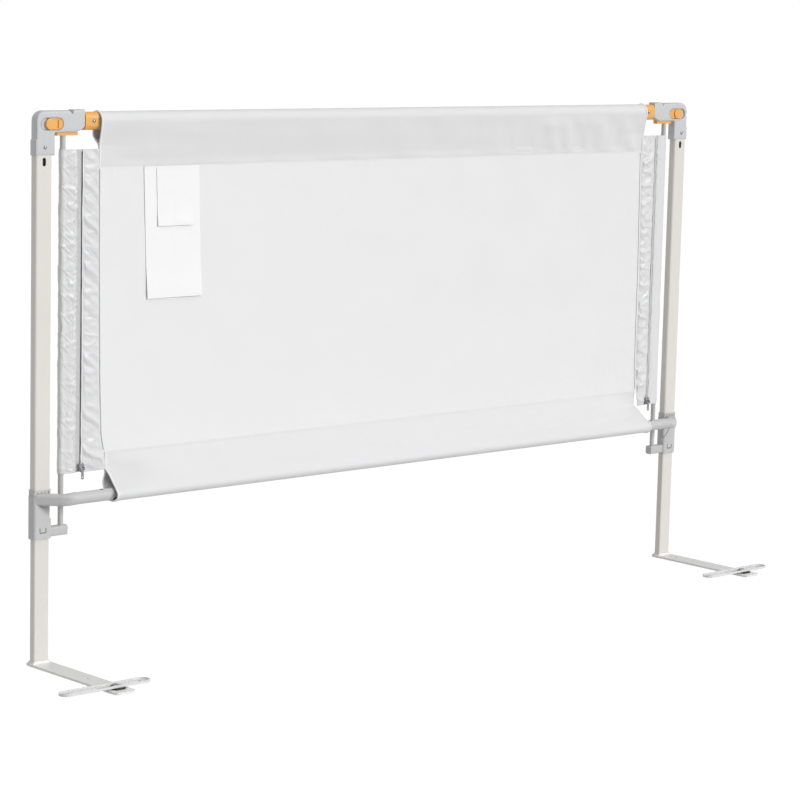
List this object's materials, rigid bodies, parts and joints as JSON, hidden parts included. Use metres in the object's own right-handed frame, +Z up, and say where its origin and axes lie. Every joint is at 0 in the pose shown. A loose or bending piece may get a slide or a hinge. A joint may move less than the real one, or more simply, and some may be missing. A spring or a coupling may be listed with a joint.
{
  "type": "bed guard rail",
  "caption": "Bed guard rail: a net in cloth sleeves between telescopic uprights on L-shaped feet, lowered by triggers under its corner housings.",
  "frame": {"origin": "middle of the object's box, on the floor that its foot plates stand on", "axes": "+X along the rails to the right, +Y away from the bed, +Z up; the foot plates reach towards -Y, under the mattress"},
  "size_m": [1.672, 0.252, 0.9],
  "materials": {
    "painted_steel": "warm light grey powder coat, satin",
    "grey_plastic": "moulded, fine matt grain",
    "orange_plastic": "moulded, semi-gloss",
    "bright_steel": "zinc plated",
    "black_plastic": "moulded, matt",
    "black_rubber": "matt",
    "white_cloth": "plain woven, pale grey",
    "white_net": "fine knitted net, white",
    "label_cloth": "smooth satin tape, blank"
  },
  "bodies": {
    "left_leg": {"foot_plate_left": "painted_steel", "inner_tube_left": "painted_steel", "tube_glide_left": "black_plastic"},
    "right_leg": {"foot_plate_right": "painted_steel", "inner_tube_right": "painted_steel", "tube_glide_right": "black_plastic"},
    "guard_frame": {"outer_tube_left": "painted_steel", "outer_tube_right": "painted_steel", "corner_housing_left": "grey_plastic", "corner_housing_right": "grey_plastic", "housing_screw_left": "bright_steel", "housing_screw_right": "bright_steel", "trigger_spring_left": "bright_steel", "trigger_spring_right": "bright_steel", "socket_sleeve_left": "orange_plastic", "socket_sleeve_right": "orange_plastic", "socket_screw_left": "bright_steel", "socket_screw_right": "bright_steel", "lower_bracket_left": "grey_plastic", "lower_bracket_right": "grey_plastic", "bracket_collar_left": "grey_plastic", "bracket_collar_right": "grey_plastic", "cup_screw_left": "black_plastic", "cup_screw_right": "black_plastic", "side_panel_left": "white_cloth", "side_panel_right": "white_cloth", "zip_tape_left": "white_cloth", "zip_tape_right": "white_cloth", "top_rail": "painted_steel", "bottom_rail": "painted_steel", "top_sleeve": "white_cloth", "bottom_sleeve": "white_cloth", "net_panel": "white_net", "blank_label": "label_cloth"},
    "strip_pivot_left": {"strip_pad_left": "black_rubber", "strip_screw_left": "bright_steel"},
    "strip_left": {"anchor_strip_left": "painted_steel"},
    "trigger_left": {"trigger_left": "orange_plastic", "release_rod_left": "painted_steel"},
    "latch_left": {"latch_bolt_left": "bright_steel"},
    "lock_left": {"lock_slider_left": "orange_plastic"},
    "zip_left": {"zip_slider_left": "bright_steel"},
    "pull_left": {"zip_pull_left": "bright_steel"},
    "strip_pivot_right": {"strip_pad_right": "black_rubber", "strip_screw_right": "bright_steel"},
    "strip_right": {"anchor_strip_right": "painted_steel"},
    "trigger_right": {"trigger_right": "orange_plastic", "release_rod_right": "painted_steel"},
    "latch_right": {"latch_bolt_right": "bright_steel"},
    "lock_right": {"lock_slider_right": "orange_plastic"},
    "zip_right": {"zip_slider_right": "bright_steel"},
    "pull_right": {"zip_pull_right": "bright_steel"}
  },
  "joints": [
    {"name": "frame_drop", "type": "slide", "parent": "left_leg", "child": "guard_frame", "axis": [0, 0, -1], "range_m": [0, 0.18]},
    {"name": "right_leg_slide", "type": "slide", "parent": "guard_frame", "child": "right_leg", "axis": [0, 0, 1], "range_m": [0, 0.18]},
    {"name": "trigger_pull_left", "type": "slide", "parent": "guard_frame", "child": "trigger_left", "axis": [0, 0, 1], "range_m": [0, 0.0045], "stiffness_N_per_m": 900, "springref_m": -0.003, "deforming": ["trigger_spring_left"]},
    {"name": "latch_draw_left", "type": "slide", "parent": "guard_frame", "child": "latch_left", "axis": [1, 0, 0], "range_m": [0, 0.00225]},
    {"name": "lock_slide_left", "type": "slide", "parent": "guard_frame", "child": "lock_left", "axis": [-1, 0, 0], "range_m": [0, 0.008]},
    {"name": "strip_turn_left", "type": "hinge", "parent": "left_leg", "child": "strip_pivot_left", "pos_m": [-0.73, -0.095, 0.006], "axis": [0, 0, 1], "range_deg": [-90, 90]},
    {"name": "strip_shift_left", "type": "slide", "parent": "strip_pivot_left", "child": "strip_left", "axis": [1, 0, 0], "range_m": [-0.045, 0.085]},
    {"name": "zip_slide_left", "type": "slide", "parent": "guard_frame", "child": "zip_left", "axis": [0, 0, 1], "range_m": [0, 0.448]},
    {"name": "zip_pull_swing_left", "type": "hinge", "parent": "zip_left", "child": "pull_left", "pos_m": [-0.657, 0.09755, 0.3185], "axis": [-1, 0, 0], "range_deg": [0, 150]},
    {"name": "trigger_pull_right", "type": "slide", "parent": "guard_frame", "child": "trigger_right", "axis": [0, 0, 1], "range_m": [0, 0.0045], "stiffness_N_per_m": 900, "springref_m": -0.003, "deforming": ["trigger_spring_right"]},
    {"name": "latch_draw_right", "type": "slide", "parent": "guard_frame", "child": "latch_right", "axis": [-1, 0, 0], "range_m": [0, 0.00225]},
    {"name": "lock_slide_right", "type": "slide", "parent": "guard_frame", "child": "lock_right", "axis": [1, 0, 0], "range_m": [0, 0.008]},
    {"name": "strip_turn_right", "type": "hinge", "parent": "right_leg", "child": "strip_pivot_right", "pos_m": [0.77, -0.095, 0.006], "axis": [0, 0, 1], "range_deg": [-90, 90]},
    {"name": "strip_shift_right", "type": "slide", "parent": "strip_pivot_right", "child": "strip_right", "axis": [1, 0, 0], "range_m": [-0.045, 0.085]},
    {"name": "zip_slide_right", "type": "slide", "parent": "guard_frame", "child": "zip_right", "axis": [0, 0, 1], "range_m": [0, 0.448]},
    {"name": "zip_pull_swing_right", "type": "hinge", "parent": "zip_right", "child": "pull_right", "pos_m": [0.697, 0.09755, 0.3185], "axis": [-1, 0, 0], "range_deg": [0, 150]}
  ],
  "couplings": [
    {"joint": "right_leg_slide", "follows": "frame_drop", "ratio": 1},
    {"joint": "latch_draw_left", "follows": "trigger_pull_left", "ratio": 0.5},
    {"joint": "latch_draw_right", "follows": "trigger_pull_right", "ratio": 0.5}
  ]
}
